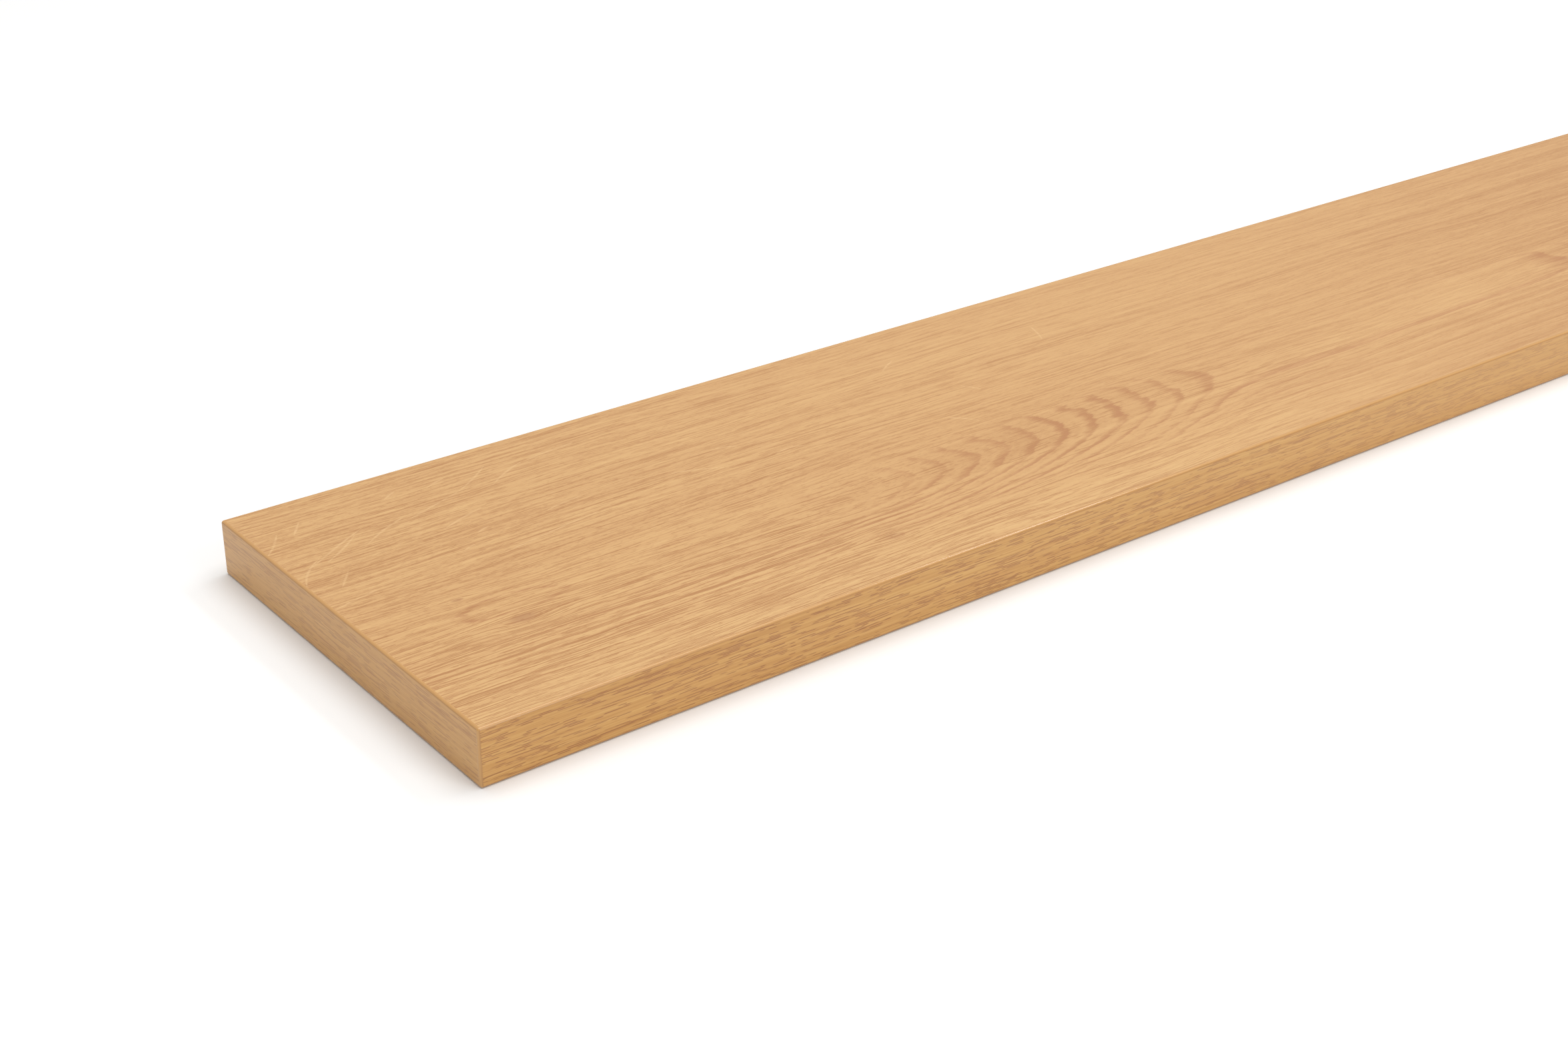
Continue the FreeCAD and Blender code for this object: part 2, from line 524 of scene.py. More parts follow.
def ray_flecks(tree, place):
    """All the pale strokes laid over each other, broken up by the fibres that they cross."""
    rounds = add(tree, "ShaderNodeVectorMath", [place, (RAY_REPEAT, 2 * WIDTH, 1.0)], operation="MODULO")
    flecks = 0.0
    for start, end, bow in RAY_FLECKS:
        step = Vector(end) - Vector(start)
        links = {
            "Place": rounds,
            "Start": (*start, 0.0),
            "Along": (*(step / step.length_squared), 0.0),
            "Across": (-step.y / step.length, step.x / step.length, 0.0),
            "Bow": bow,
            "Width": RAY_WIDTH,
        }
        fleck = add(tree, "ShaderNodeGroup", links, node_tree=fleck_group)
        flecks = add(tree, "ShaderNodeMath", [fleck, flecks], operation="MAXIMUM")
    fibres = streaks(tree, place, *RAY_FIBRES, seed=9)
    broken = add(tree, "ShaderNodeMapRange", [fibres, *RAY_LEFT])
    return add(tree, "ShaderNodeMath", [flecks, broken], operation="MULTIPLY")


print(len(RAY_FLECKS), "ray flecks in every", RAY_REPEAT, "mm of print")

# %% [markdown]
# ## The tone of the print
#
# A printer builds wood from a few inks. In the same way all that makes the print darker or paler is
# summed to one tone, from dark to pale: broad streaks, fine lines, the rings' shade, drawn lines and
# pores. Painted shade, which darkens the board's right-hand part where less light falls, is summed in
# too. In the figure, lines along the rings take the place of straight ones, because straight lines
# would cut through the arcs. The print is quieter towards the board's middle and back.

# %% The tone of the print
MEAN_TONE = 0.7
# Layers of the tone: length and width of the streaks, and their weight
BROAD_LAYERS = ((420.0, 5.0, 0.2), (400.0, 2.4, 0.28))
FINE_LAYERS = ((350.0, 1.2, 0.3), (300.0, 0.6, 0.28), (40.0, 1.2, 0.14), (14.0, 0.6, 0.4))
RING_SHADE = 0.32
# Lines that run along the rings: their length, and their width as a share of a ring
RING_LINES = (25.0, 0.3)
RING_LINE_WEIGHT = 0.5
# How far inwards a place lies counts from the nearer end, and this much of its distance from the front
BACK_COUNTS = 0.8
BROAD_FADES = (260.0, 500.0, 1.0, 0.85)
LINES_FADE = (230.0, 450.0, 1.0, 0.5)
PORES_FADE = (130.0, 360.0, 1.0, 0.45)
# Broad darker and paler stretches: place, half length and half width, and change of tone. The first
# and the fifth are painted shade, darker towards the board's right where less light falls; the rest are
# print
SHADES = (
    # Painted shade: the board's right-hand part darker, where less light falls
    (680.0, 40.0, 260.0, 150.0, -0.31),
    (235.0, 47.0, 100.0, 20.0, -0.25),
    (50.0, 4.0, 80.0, 8.0, 0.1),
    (210.0, 4.0, 130.0, 14.0, 0.18),
    # Painted shade: more of the same darkening near the front, towards the right
    (460.0, 11.0, 100.0, 16.0, -0.17),
    (462.0, 53.0, 40.0, 8.0, 0.16),
    (420.0, 41.0, 90.0, 4.0, 0.16),
)
# The front of the board, where the wood between the lines is paler
FRONT = (42.0, 62.0, 1.0, 0.0)
FRONT_PALER = 0.09
LINE_SHADE = 0.68
PORE_SHADE = 0.33


def inwardness(tree, lines):
    """How far a place lies from the nearer end of the board and from its front, in millimetres."""
    along = add(tree, "ShaderNodeSeparateXYZ", [lines])
    from_end = add(tree, "ShaderNodeMath", [along, LENGTH / 2], operation="PINGPONG")
    across = along.node.outputs[1]
    return add(tree, "ShaderNodeMath", [across, BACK_COUNTS, from_end], operation="MULTIPLY_ADD")


def fine_lines(tree, place, lines, rings, figured):
    """Straight fine lines, which give way to lines along the rings in the figure."""
    straight = layered(tree, 0.0, lines, FINE_LAYERS, first_seed=30, detail=0.0)
    along = add(tree, "ShaderNodeSeparateXYZ", [place])
    along_rings = add(tree, "ShaderNodeCombineXYZ", [along, rings, 0.0])
    ring_lines = streaks(tree, along_rings, *RING_LINES, seed=20, detail=2.0)
    curved = shifted(tree, 0.0, ring_lines, RING_LINE_WEIGHT)
    return add(tree, "ShaderNodeMix", {0: figured, 2: straight, 3: curved})


def decor_tone(tree, place, lines, fibres, rings, dark):
    """The tone of the print, with painted shade summed into it, and the drawn lines and pores that the
    press deepens.
    """
    inward = inwardness(tree, lines)
    calmer, clear, sharp = (add(tree, "ShaderNodeMapRange", [inward, *fade])
                            for fade in (BROAD_FADES, LINES_FADE, PORES_FADE))
    figured = spot(tree, place, *FIGURE)
    shade = add(tree, "ShaderNodeMath", [dark, -RING_SHADE], operation="MULTIPLY")
    broad = layered(tree, shade, fibres, BROAD_LAYERS, first_seed=6, detail=0.0)
    tone = add(tree, "ShaderNodeMath", [broad, calmer, MEAN_TONE], operation="MULTIPLY_ADD")
    fine = fine_lines(tree, place, lines, rings, figured)
    tone = add(tree, "ShaderNodeMath", [fine, clear, tone], operation="MULTIPLY_ADD")
    # Broad print stretches, and painted shade that darkens the board's right-hand part
    for *stretch, change in SHADES:
        hill = spot(tree, place, *stretch)
        tone = add(tree, "ShaderNodeMath", [hill, change, tone], operation="MULTIPLY_ADD")
    across = add(tree, "ShaderNodeSeparateXYZ", [lines], out=1)
    front = add(tree, "ShaderNodeMapRange", [across, *FRONT])
    tone = add(tree, "ShaderNodeMath", [front, FRONT_PALER, tone], operation="MULTIPLY_ADD")
    drawn = drawn_lines(tree, place, lines, front, figured)
    drawn = add(tree, "ShaderNodeMath", [drawn, clear], operation="MULTIPLY")
    tone = add(tree, "ShaderNodeMath", [drawn, -LINE_SHADE, tone], operation="MULTIPLY_ADD")
    pores = pore_marks(tree, place, lines, dark)
    pores = add(tree, "ShaderNodeMath", [pores, sharp], operation="MULTIPLY")
    tone = add(tree, "ShaderNodeMath", [pores, -PORE_SHADE, tone], operation="MULTIPLY_ADD")
    marks = add(tree, "ShaderNodeMath", [drawn, pores], operation="MAXIMUM")
    return tone, marks


print("the tone has", len(BROAD_LAYERS) + len(FINE_LAYERS), "layers and", len(SHADES), "stretches")

# %% [markdown]
# ## Inks, resin and press
#
# Both prints on this board are made alike: a ground in oak colours, inks laid over it, clear resin on
# top, and marks pressed in. So the materials share four helpers, and each finish then says only what
# is its own. The bump that stands for the marks bends the light alone, which is enough for grooves
# that are finer than the mesh.

# %% Inks, resin and press
RESIN_IOR = 1.5
GROOVE_STRENGTH = 0.3
GROOVE_DEPTH = 0.05


def oak_colours(tree, tone, stops):
    """The ground of a print: oak colours for a tone from 0 to 1."""
    colour = add(tree, "ShaderNodeValToRGB", [tone])
    elements = colour.node.color_ramp.elements
    for place, hex_colour in stops[1:-1]:
        elements.new(place).color = linear(hex_colour)
    elements[0].color = linear(stops[0][1])
    elements[-1].color = linear(stops[-1][1])
    return colour


def lay_over(tree, colour, share, strength, hex_colour):
    """A colour with another one laid over it where the share says so."""
    part = add(tree, "ShaderNodeMath", [share, strength], operation="MULTIPLY", use_clamp=True)
    return add(tree, "ShaderNodeMix", {0: part, 6: colour, 7: linear(hex_colour)}, out=2, data_type="RGBA")


def new_material(name, roughness):
    """An empty material with one Principled shader, and that shader's node."""
    material = bpy.data.materials.new(name)
    material.use_nodes = True
    tree = material.node_tree
    tree.nodes.clear()
    surface = add(tree, "ShaderNodeBsdfPrincipled", {"Roughness": roughness, "IOR": RESIN_IOR})
    add(tree, "ShaderNodeOutputMaterial", [surface], out=slice(0))
    return material, tree, surface.node


def press_in(tree, surface, marks):
    """Sinks the marks below the surface, as a press plate or an embossing roller does."""
    normal = add(tree, "ShaderNodeBump", {"Height": marks, "Strength": GROOVE_STRENGTH,
                                          "Distance": GROOVE_DEPTH * MM}, invert=True)
    tree.links.new(normal, surface.inputs["Normal"])


mirrored = ((RESIN_IOR - 1) / (RESIN_IOR + 1)) ** 2
print("resin mirrors", round(100 * mirrored), "per cent of the light that meets it head on")

# %% [markdown]
# ## Printed melamine, pressed
#
# The face is paper printed with the oak figure, soaked in melamine and pressed on the panel. The
# resin is clear and hard, so it has a plastic's reflection over the print. The press plate leaves
# fine grooves, which make it matt.
#
# The tone gives the ground its colours. A reddish shade of the rings, the pale ray flecks and the
# hearts of the knots differ from it in hue, so they are laid over it.

# %% The decor finish
# Oak colours from the darkest line to the palest wood
TONES = ((0.0, "#AF7B47"), (0.3, "#BC8B57"), (0.6, "#CB9D67"), (1.0, "#D6AC73"))
DECOR_RED = "#B67C53"
DECOR_RAY = "#E3BD88"
DECOR_KNOT = "#A06A42"
RED_STRENGTH = 0.3
RAY_STRENGTH = 0.5
# A knot's heart: its share of the knot's half length and half width, and its soft border
HEART_SHARE = (0.4, 0.5)
HEART_BORDER = (0.1, 0.9, 0.0, 1.0)
MELAMINE_ROUGHNESS = 0.45


def decor_material():
    """Oak print under pressed matt melamine."""
    material, tree, surface = new_material("melamine_oak_decor_pressed_matt", MELAMINE_ROUGHNESS)
    place = print_place(tree, add(tree, "ShaderNodeTexCoord", out=3))
    lines = grain_lines(tree, place)
    fibres = woven_fibres(tree, lines)
    rings = growth_rings(tree, fibres)
    dark = ring_shade(tree, place, lines, fibres, rings)
    tone, marks = decor_tone(tree, place, lines, fibres, rings, dark)
    colour = oak_colours(tree, tone, TONES)
    colour = lay_over(tree, colour, dark, RED_STRENGTH, DECOR_RED)
    colour = lay_over(tree, colour, ray_flecks(tree, place), RAY_STRENGTH, DECOR_RAY)
    long_share, wide_share = HEART_SHARE
    for along, across, half_length, half_width, strength in KNOTS:
        hill = spot(tree, place, along, across, half_length * long_share, half_width * wide_share)
        heart = add(tree, "ShaderNodeMapRange", [hill, *HEART_BORDER], interpolation_type="SMOOTHSTEP")
        colour = lay_over(tree, colour, heart, strength, DECOR_KNOT)
    tree.links.new(colour, surface.inputs["Base Color"])
    press_in(tree, surface, marks)
    return material


decor = decor_material()
print("decor print has", len(decor.node_tree.nodes), "nodes")

# %% [markdown]
# ## The pressed panel
#
# The press leaves shallow grooves along the growth rings, a few hundredths of a millimetre deep. A
# flat box with a bump would look right from afar, but its outline and its mesh would be smooth.
# Geometry Nodes make a fine grid instead and lower each point by the same ring rule as the print,
# so that light and print agree. Grid cells are long and narrow, because the grain is.

# %% Rule of the pressed panel


def ring_groove(tree, position):
    """How deep the grooves along the rings are, from 0 to 1."""
    place = print_place(tree, position)
    rings = growth_rings(tree, woven_fibres(tree, grain_lines(tree, place)))
    within = add(tree, "ShaderNodeMath", [rings], operation="FRACT")
    turn = add(tree, "ShaderNodeMath", [within, math.tau], operation="MULTIPLY")
    wave = add(tree, "ShaderNodeMath", [turn], operation="COSINE")
    return add(tree, "ShaderNodeMapRange", [wave, -1.0, 1.0, 0.0, 1.0])


def pressed_panel_tree():
    """A closed panel on a fine grid, grooved along the rings on both faces."""
    tree = bpy.data.node_groups.new("pressed_panel", "GeometryNodeTree")
    for name, kind in (("Size", "Vector"), ("Cells Along", "Int"), ("Cells Across", "Int"),
                       ("Relief Depth", "Float"), ("Relief Margin", "Float"), ("Finish", "Material")):
        tree.interface.new_socket(name, in_out="INPUT", socket_type="NodeSocket" + kind)
    tree.interface.new_socket("Geometry", in_out="OUTPUT", socket_type="NodeSocketGeometry")
    given = tree.nodes.new("NodeGroupInput").outputs
    block = add(tree, "GeometryNodeMeshCube", {"Size": given["Size"], "Vertices X": given["Cells Along"],
                                               "Vertices Y": given["Cells Across"], "Vertices Z": 2})
    size_z = add(tree, "ShaderNodeSeparateXYZ", [given["Size"]], out=2)
    half_z = add(tree, "ShaderNodeMath", [size_z, 0.5], operation="MULTIPLY")
    lift = add(tree, "ShaderNodeCombineXYZ", {"Z": half_z})
    block = add(tree, "GeometryNodeSetPosition", {"Geometry": block, "Offset": lift})

    # The relief fades out towards the glued edges
    position = add(tree, "GeometryNodeInputPosition")
    edge = add(tree, "ShaderNodeVectorMath", [position], operation="ABSOLUTE")
    half_size = add(tree, "ShaderNodeVectorMath", [given["Size"], (0.5, 0.5, 0.5)], operation="MULTIPLY")
    inset = add(tree, "ShaderNodeVectorMath", [half_size, edge], operation="SUBTRACT")
    inset_x = add(tree, "ShaderNodeSeparateXYZ", [inset])
    nearest = add(tree, "ShaderNodeMath", [inset_x, inset_x.node.outputs[1]], operation="MINIMUM")
    flat = add(tree, "ShaderNodeMapRange", [nearest, 0.0, given["Relief Margin"], 0.0, 1.0],
               interpolation_type="SMOOTHSTEP")
    depth = add(tree, "ShaderNodeMath", [ring_groove(tree, position), given["Relief Depth"]],
                operation="MULTIPLY")
    depth = add(tree, "ShaderNodeMath", [depth, flat], operation="MULTIPLY")

    # Both faces sink towards the middle of the panel
    height = add(tree, "ShaderNodeSeparateXYZ", [position], out=2)
    above = add(tree, "ShaderNodeMath", [half_z, height], operation="SUBTRACT")
    inwards = add(tree, "ShaderNodeMath", [above], operation="SIGN")
    sunk = add(tree, "ShaderNodeMath", [depth, inwards], operation="MULTIPLY")
    offset = add(tree, "ShaderNodeCombineXYZ", {"Z": sunk})
    block = add(tree, "GeometryNodeSetPosition", {"Geometry": block, "Offset": offset})
    whole = add(tree, "GeometryNodeRealizeInstances", [block])
    dressed = add(tree, "GeometryNodeSetMaterial", {"Geometry": whole, "Material": given["Finish"]})
    add(tree, "NodeGroupOutput", [dressed], out=slice(0))
    return tree


panel_tree = pressed_panel_tree()
print("panel tree has", len(panel_tree.nodes), "nodes")

# %% [markdown]
# A tree only describes a shape. A modifier on an object runs it with real sizes. What comes out is
# kept as a plain mesh and the modifier is removed, because other programs can't run the tree.

# %% Panel with pressed relief
CELL_ALONG = 10.0
CELL_ACROSS = 0.5
RELIEF_DEPTH = 0.05
RELIEF_MARGIN = 1.5
SHARP_ANGLE = math.radians(40)


def grown_by_nodes(name, tree, values):
    """A plain mesh object holding what a Geometry Nodes tree makes from the named values."""
    thing = bpy.data.objects.new(name, bpy.data.meshes.new(name))
    bpy.context.scene.collection.objects.link(thing)
    modifier = thing.modifiers.new("grow", "NODES")
    modifier.node_group = tree
    for socket_name, value in values.items():
        modifier[tree.interface.items_tree[socket_name].identifier] = value
    made = thing.evaluated_get(bpy.context.evaluated_depsgraph_get())
    mesh = bpy.data.meshes.new_from_object(made)
    thing.modifiers.clear()
    thing.data = mesh
    return thing


panel_size = panel_high - panel_low
panel = grown_by_nodes("decor_panel", panel_tree, {
    "Size": panel_size,
    "Cells Along": round(panel_size.x / MM / CELL_ALONG) + 1,
    "Cells Across": round(panel_size.y / MM / CELL_ACROSS) + 1,
    "Relief Depth": RELIEF_DEPTH * MM,
    "Relief Margin": RELIEF_MARGIN * MM,
    "Finish": decor,
})
panel.data.shade_smooth()
panel.data.set_sharp_from_angle(angle=SHARP_ANGLE)
print("panel has", len(panel.data.polygons), "faces")

# %% [markdown]
# A flat map of each piece helps programs that paint it with a picture. Every side of a piece lies in
# a strip of its own, over the whole width of the map. The side that shows gets most of the height, so
# that the print's lines, which are finest across the grain, stay sharp. A long piece can be cut into
# rows, one above the other, because a single row would squeeze it too much.

# %% Flat map of the panel
UP = Vector((0, 0, 1))
TO_BACK = Vector((0, 1, 0))
TO_RIGHT = Vector((1, 0, 0))
MAP_MARGIN = 0.003
# Borders of the strips of the panel's map from above: top, underside, then the four glued sides
PANEL_BORDERS = (1.0, 0.27, 0.08, 0.06, 0.04, 0.02, 0.0)


def spread_over(values, low, high):
    """Values moved into a strip of the map, clear of its borders."""
    span = values.max() - values.min()
    return low + MAP_MARGIN + (values - values.min()) / span * (high - low - 2 * MAP_MARGIN)


def lay_flat(mesh, facings, borders, rows=1):
    """Maps the faces that look most in each of the facings to the strip between two borders."""
    points = np.empty(len(mesh.vertices) * 3)
    mesh.vertices.foreach_get("co", points)
    points = points.reshape(-1, 3)
    extent = np.ptp(points, axis=0)
    long_axis = extent.argmax()
    used = np.empty(len(mesh.loops), int)
    mesh.loops.foreach_get("vertex_index", used)
    places = points[used]
    faces = mesh.polygons
    side = (np.array([face.normal for face in faces]) @ np.array(facings).T).argmax(1)
    share = [(face.center[long_axis] - points[:, long_axis].min()) / extent[long_axis] for face in faces]
    row = np.minimum((np.array(share) * rows).astype(int), rows - 1)
    strip = np.repeat(side * rows + row, [face.loop_total for face in faces])
    mapped = np.empty((len(used), 2))
    for number in np.unique(strip):
        chosen = strip == number
        facing, level = divmod(number, rows)
        flat_axes = sorted((i for i in range(3) if not facings[facing][i]), key=lambda i: -extent[i])
        mapped[chosen, 0] = spread_over(places[chosen, flat_axes[0]], 0.0, 1.0)
        low, high = (level + borders[facing + 1]) / rows, (level + borders[facing]) / rows
        mapped[chosen, 1] = spread_over(places[chosen, flat_axes[1]], low, high)
    mesh.uv_layers.new(name="OFBake").data.foreach_set("uv", mapped.ravel())


lay_flat(panel.data, (UP, -UP, -TO_BACK, TO_BACK, -TO_RIGHT, TO_RIGHT), PANEL_BORDERS)
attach(panel, "root")
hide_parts("faced_panel")
print("panel stands for the faced panel")

# %% [markdown]
# ## The edge bands
#
# Each band is a strip of through-dyed plastic, printed on its outer side. After gluing, a cutter
# rounds its arrises, and the long bands, which go on last, are rounded at their ends too. A box
# with those edges bevelled gives just that. A narrow rim is then set round each flat, so that
# smooth shading stays inside the rounding.

# %% Band shapes
ROUND_STEPS = 8
SHADING_RIM = 0.04
# A face is a flat above this area, and an edge lies on the board's outside within this distance
LEAST_FLAT_AREA = 5 * MM * MM
TOUCH = 0.01 * MM


def on_outside(edge):
    """Whether an edge is an arris of the whole board: it lies on two of the board's outer sides."""
    middle = (edge.verts[0].co + edge.verts[1].co) / 2
    touched = sum(min(abs(middle[i] - cad_low[i]), abs(middle[i] - cad_high[i])) < TOUCH for i in range(3))
    return touched >= 2


def band_mesh(name, node, rows):
    """A rounded strip that fills its solid's box, cut across where the rows of its map end."""
    low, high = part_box(node)
    shape = bmesh.new()
    bmesh.ops.create_cube(shape, size=1.0)
    bmesh.ops.scale(shape, vec=high - low, verts=shape.verts)
    bmesh.ops.translate(shape, vec=(low + high) / 2, verts=shape.verts)
    bmesh.ops.bevel(shape, geom=[e for e in shape.edges if on_outside(e)], offset=ROUNDING * MM,
                    segments=ROUND_STEPS, profile=0.5, affect="EDGES", clamp_overlap=False)
    flats = [f for f in shape.faces if f.calc_area() > LEAST_FLAT_AREA]
    bmesh.ops.inset_individual(shape, faces=flats, thickness=SHADING_RIM * MM)
    size = high - low
    across = TO_RIGHT if size.x > size.y else TO_BACK
    for cut in range(1, rows):
        everything = [*shape.verts, *shape.edges, *shape.faces]
        bmesh.ops.bisect_plane(shape, geom=everything, plane_co=low.lerp(high, cut / rows), plane_no=across)
    bmesh.ops.recalc_face_normals(shape, faces=shape.faces)
    mesh = bpy.data.meshes.new(name)
    shape.to_mesh(mesh)
    shape.free()
    mesh.shade_smooth()
    mesh.set_sharp_from_angle(angle=SHARP_ANGLE)
    return mesh


print("arrises are rounded to", ROUNDING, "mm in", ROUND_STEPS, "steps")

# %% [markdown]
# The print runs along each band, so each mesh notes for every point how far along the band it
# lies, how deep below the printed side and how high. One material then serves all four bands.

# %% Bands in place
# Name, solid, the way that the printed side looks, and the rows of the flat map
BANDS = (
    ("front_band", "front_edge_band", -TO_BACK, 4),
    ("back_band", "back_edge_band", TO_BACK, 4),
    ("left_band", "left_end_band", -TO_RIGHT, 2),
    ("right_band", "right_end_band", TO_RIGHT, 2),
)
# Borders of the strips in a row from above: printed side, top, underside, glued side, then the two ends
BAND_BORDERS = (1.0, 0.4, 0.28, 0.18, 0.12, 0.06, 0.0)
PRINT_OFFSET = 1700.0


def note_places(mesh, outward, start):
    """Writes each point's place on the band: along, below the printed side, and up, in millimetres."""
    along = outward.cross(UP)
    reach = max(outward.dot(v.co) for v in mesh.vertices)
    spots = mesh.attributes.new("band_place", "FLOAT_VECTOR", "POINT")
    for vertex, spot_data in zip(mesh.vertices, spots.data):
        below = reach - outward.dot(vertex.co)
        spot_data.vector = (along.dot(vertex.co) / MM + start, below / MM, vertex.co.z / MM)


bands = []
for index, (name, node, outward, rows) in enumerate(BANDS):
    mesh = band_mesh(name, node, rows)
    note_places(mesh, outward, (index + 1) * PRINT_OFFSET)
    along = outward.cross(UP)
    lay_flat(mesh, (outward, UP, -UP, -outward, along, -along), BAND_BORDERS, rows)
    band = bpy.data.objects.new(name, mesh)
    bpy.context.scene.collection.objects.link(band)
    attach(band, "root")
    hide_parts(node)
    bands.append(band)
    print(name, "has", len(mesh.polygons), "faces")

# %% [markdown]
# ## Printed plastic band
#
# The band's print is a simpler oak: an ochre ground with long soft lines, and pores as strokes of
# two lengths. It has no rings, because so narrow a strip shows straight grain only. It is drawn
# with the same streaks and dashes as the decor, on the places that the meshes note.

# %% The band's print
BAND_TONES = ((0.0, "#A66B30"), (0.35, "#BC853F"), (0.65, "#C7924B"), (1.0, "#D1A058"))
# Layers of the tone: length and width of the streaks, and their weight
BAND_LAYERS = ((300.0, 2.6, 0.6), (40.0, 1.2, 0.6), (200.0, 0.6, 0.7), (90.0, 0.4, 0.9))
BAND_MEAN_TONE = 0.72
BAND_SWAY = (45.0, 5.0, 1.2)
BAND_PORE = "#864318"
BAND_PORE_STRENGTH = 0.64
BAND_DASHES = ((7.5, 0.43, 0.61, 0.5), (16.0, 0.36, 0.64, 0.54))
BAND_GROUPS = (60.0, 1.6)
BAND_GROUP_CROWD = (0.35, 0.65, 0.0, 1.0)
# The print is quieter towards the board's middle, and on the stretch of roll for the end bands
BAND_MIDDLE = (180.0 * MM, 420.0 * MM, 0.5, 1.0)
BAND_QUIET = (4100.0, 4900.0, 1.0, 0.65)


def band_print(tree, along, height):
    """The colour of the band's printed side, and the pores in it."""
    place = add(tree, "ShaderNodeCombineXYZ", [along, height, 0.0])
    length, width, swing = BAND_SWAY
    swayed = shifted(tree, height, streaks(tree, place, length, width, seed=11), swing)
    lines = add(tree, "ShaderNodeCombineXYZ", [along, swayed, 0.0])
    board_x = add(tree, "ShaderNodeSeparateXYZ", [add(tree, "ShaderNodeTexCoord", out=3)])
    from_middle = add(tree, "ShaderNodeMath", [board_x], operation="ABSOLUTE")
    clear = add(tree, "ShaderNodeMapRange", [from_middle, *BAND_MIDDLE])
    quieter = add(tree, "ShaderNodeMapRange", [along, *BAND_QUIET])
    clear = add(tree, "ShaderNodeMath", [clear, quieter], operation="MULTIPLY")
    streaked = layered(tree, 0.0, lines, BAND_LAYERS, first_seed=12, detail=2.0)
    tone = add(tree, "ShaderNodeMath", [streaked, clear, BAND_MEAN_TONE], operation="MULTIPLY_ADD")
    groups = streaks(tree, lines, *BAND_GROUPS, seed=14)
    crowd = add(tree, "ShaderNodeMapRange", [groups, *BAND_GROUP_CROWD])
    pores = all_dashes(tree, lines, BAND_DASHES, crowd, first_seed=15)
    pores = add(tree, "ShaderNodeMath", [pores, clear], operation="MULTIPLY")
    ground = oak_colours(tree, tone, BAND_TONES)
    return lay_over(tree, ground, pores, BAND_PORE_STRENGTH, BAND_PORE), pores


print("pores of the bands come in", len(BAND_DASHES), "lengths")

# %% [markdown]
# Clear lacquer seals the print and gives it a satin sheen. The cutter takes the printed skin off with
# the arris, so just below the printed side the plastic's own even colour shows, smoother than the
# print. A second material there would need a seam in the mesh. How deep a point lies can decide it
# instead, and the border then runs just where the rounding starts.

# %% The band's finish
BAND_PLAIN = "#C99759"
# A brown line laid over the rounding just below the printed side: its colour and strength
BAND_BROWN_LINE = "#A36F3A"
BAND_BROWN_LINE_STRENGTH = 0.4
# The printed skin's thickness, and shares of it for the border of the bare plastic and a brown line there
PRINT_SKIN = 0.05
BARE_BORDER = (0.5 * PRINT_SKIN, 1.5 * PRINT_SKIN, 0.0, 1.0)
BROWN_LINE_STARTS = (0.1 * PRINT_SKIN, 0.6 * PRINT_SKIN, 0.0, 1.0)
BROWN_LINE_ENDS = (3 * PRINT_SKIN, 5 * PRINT_SKIN, 1.0, 0.0)
LACQUER_WEIGHT = 0.4
LACQUER_ROUGHNESS = 0.42
BARE_ROUGHNESS = 0.16


def band_material():
    """Oak print on a satin plastic strip, bare where it is rounded."""
    material, tree, surface = new_material("abs_edge_band_printed_satin", LACQUER_ROUGHNESS)
    surface.inputs["Coat Weight"].default_value = LACQUER_WEIGHT
    surface.inputs["Coat Roughness"].default_value = LACQUER_ROUGHNESS
    noted = add(tree, "ShaderNodeAttribute", out=1, attribute_name="band_place")
    along = add(tree, "ShaderNodeSeparateXYZ", [noted])
    below, height = along.node.outputs[1], along.node.outputs[2]
    colour, pores = band_print(tree, along, height)

    # Below the printed skin the plastic is bare, and a brown line is laid over the rounding just below the
    # printed side
    bare = add(tree, "ShaderNodeMapRange", [below, *BARE_BORDER])
    colour = lay_over(tree, colour, bare, 1.0, BAND_PLAIN)
    scraped = add(tree, "ShaderNodeMapRange", [bare, 0.0, 1.0, LACQUER_ROUGHNESS, BARE_ROUGHNESS])
    tree.links.new(scraped, surface.inputs["Roughness"])
    begun = add(tree, "ShaderNodeMapRange", [below, *BROWN_LINE_STARTS])
    ended = add(tree, "ShaderNodeMapRange", [below, *BROWN_LINE_ENDS])
    brown_line = add(tree, "ShaderNodeMath", [begun, ended], operation="MULTIPLY")
    colour = lay_over(tree, colour, brown_line, BAND_BROWN_LINE_STRENGTH, BAND_BROWN_LINE)
    tree.links.new(colour, surface.inputs["Base Color"])
    kept = add(tree, "ShaderNodeMath", [1.0, bare], operation="SUBTRACT")
    press_in(tree, surface, add(tree, "ShaderNodeMath", [pores, kept], operation="MULTIPLY"))
    return material


band_finish = band_material()
for band in bands:
    band.data.materials.append(band_finish)
print("band print has", len(band_finish.node_tree.nodes), "nodes")

# %% [markdown]
# ## Stage, light and camera
#
# A catalogue picture stands on plain white. A single large plane will do for the floor, if its
# border lies far outside the view. It lies a hair below the board, so that the two never share a
# face, which would flicker.

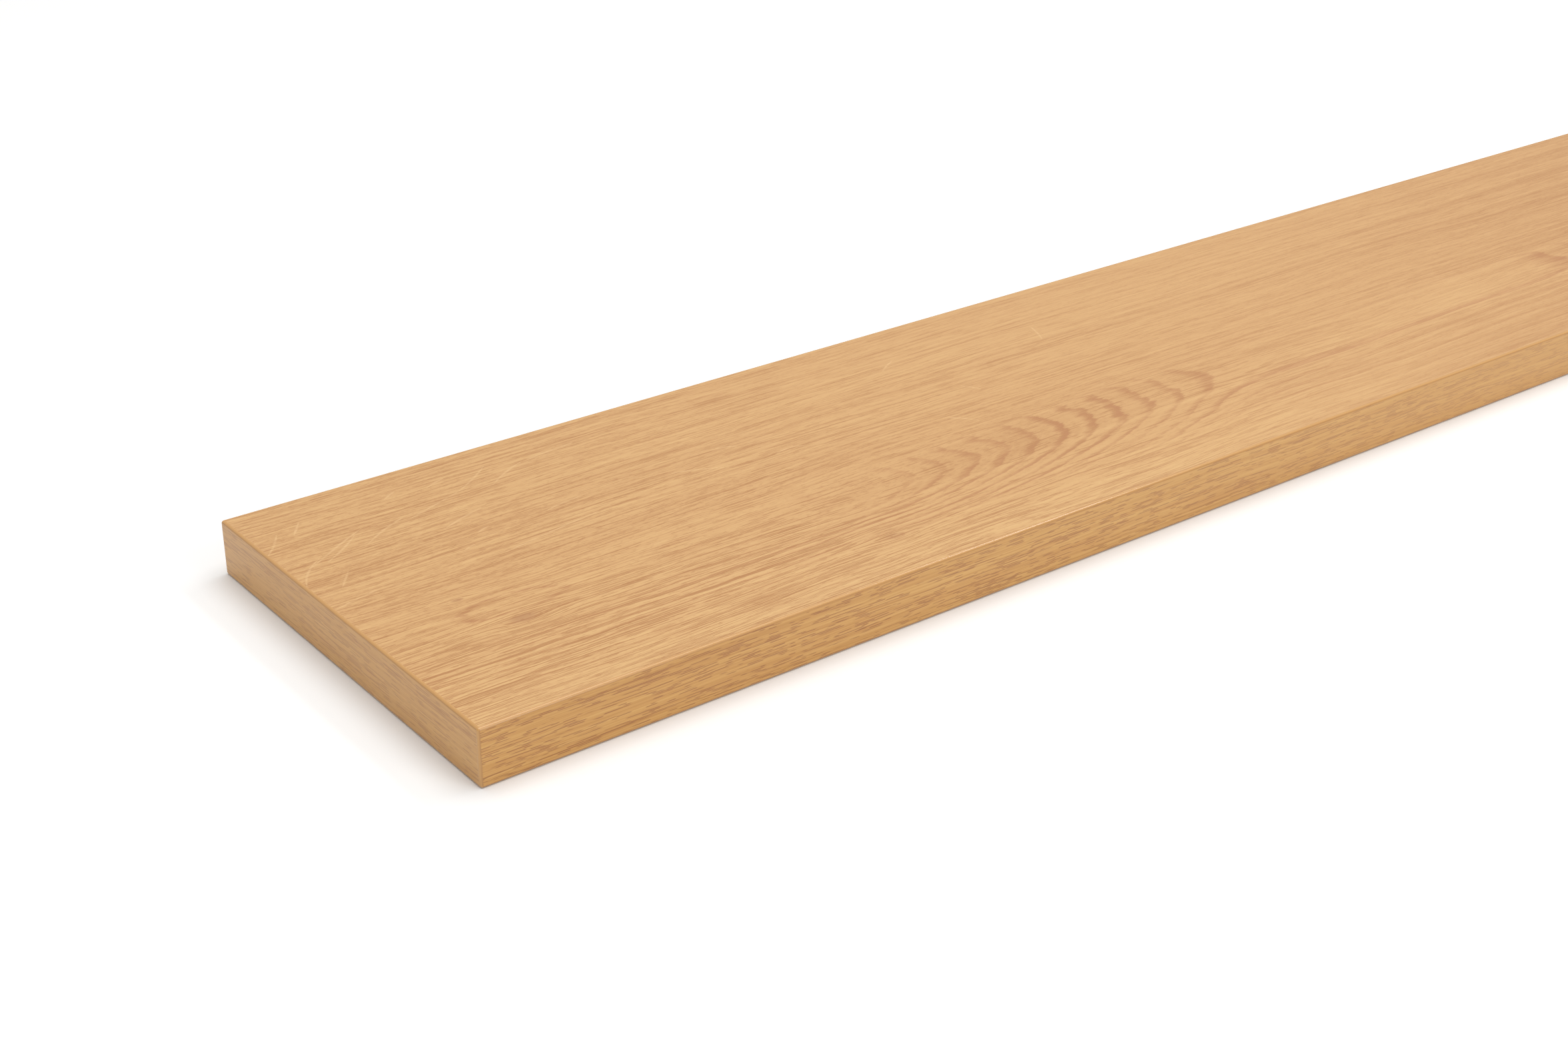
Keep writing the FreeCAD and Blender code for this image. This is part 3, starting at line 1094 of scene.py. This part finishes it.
# %% Floor
# Matt paint scatters light evenly, so the floor mirrors nothing of the board
FLOOR_COLOUR = "#F4F4F3"
FLOOR_ROUGHNESS = 0.8
FLOOR_HALF = 20.0
FLOOR_DROP = 0.05 * MM
floor_mesh = bpy.data.meshes.new("floor")
corners = [(x * FLOOR_HALF, y * FLOOR_HALF, -FLOOR_DROP) for x, y in ((-1, -1), (1, -1), (1, 1), (-1, 1))]
floor_mesh.from_pydata(corners, [], [(0, 1, 2, 3)])
floor = bpy.data.objects.new("floor", floor_mesh)
bpy.context.scene.collection.objects.link(floor)
paint, _, paint_surface = new_material("studio_floor_matt_paint", FLOOR_ROUGHNESS)
paint_surface.inputs["Base Color"].default_value = linear(FLOOR_COLOUR)
floor_mesh.materials.append(paint)
print("floor is", 2 * FLOOR_HALF, "metres wide")

# %% [markdown]
# Large soft lights keep shadows faint: one overhead for the top, one in front for the front edge,
# and a white room that fills the rest. The left end faces neither light, so it is the darkest side.
# A narrow strip light on the right is mirrored in the rounded front arris as a thin bright line,
# which tells the eye that the edge is rounded.

# %% Light
scene = bpy.context.scene
scene.view_settings.view_transform = "Standard"
WORLD_STRENGTH = 0.56
world = bpy.data.worlds.new("studio")
scene.world = world
world.use_nodes = True
world.node_tree.nodes.clear()
sky = add(world.node_tree, "ShaderNodeBackground", {"Color": (1, 1, 1, 1), "Strength": WORLD_STRENGTH})
add(world.node_tree, "ShaderNodeOutputWorld", [sky], out=slice(0))
# Name, place, what it is aimed at, width and height in metres, and power in watts
LAMPS = (
    ("overhead_softbox", Vector((-0.2, 0.1, 2.2)), Vector((-0.3, 0.0, 0.0)), (2.2, 2.2), 31.0),
    ("front_softbox", Vector((0.15, -2.0, 1.2)), Vector((-0.3, 0.0, 0.0)), (1.2, 1.2), 10.7),
    ("side_strip_light", Vector((1.08, 0.05, 1.85)), Vector((-0.4, -0.075, 0.018)), (1.6, 0.22), 6.6),
)
for name, place, target, size, watts in LAMPS:
    lamp = bpy.data.lights.new(name, "AREA")
    lamp.shape = "ELLIPSE"
    lamp.size, lamp.size_y = size
    lamp.energy = watts
    holder = bpy.data.objects.new(name, lamp)
    holder.location = place
    holder.rotation_euler = (target - place).to_track_quat("-Z", "Y").to_euler()
    scene.collection.objects.link(holder)
print("lit by", len(LAMPS), "lamps and a white room")

# %% [markdown]
# The camera stands low at the left front corner, so that the top, the front edge and the left end all
# show. Its place, aim and lens were fitted to the board's edges, and the far end runs out of the picture.

# %% Camera
CAMERA_PLACE = Vector((-0.8445, -0.5190, 0.3258))
CAMERA_TARGET = Vector((-0.4658, -0.0278, 0.0180))
CAMERA_ROLL = math.radians(0.32)
CAMERA_LENS = 52.98
SENSOR_WIDTH = 36.0
NEAR_CLIP = 0.01
lens = bpy.data.cameras.new("catalogue_camera")
lens.lens = CAMERA_LENS
lens.sensor_width = SENSOR_WIDTH
lens.clip_start = NEAR_CLIP
camera = bpy.data.objects.new("catalogue_camera", lens)
aim = (CAMERA_TARGET - CAMERA_PLACE).to_track_quat("-Z", "Y").to_matrix().to_4x4()
camera.matrix_world = Matrix.Translation(CAMERA_PLACE) @ aim @ Matrix.Rotation(CAMERA_ROLL, 4, "Z")
scene.collection.objects.link(camera)
scene.camera = camera
print("camera is", round((CAMERA_TARGET - CAMERA_PLACE).length, 3), "metres from what it looks at")
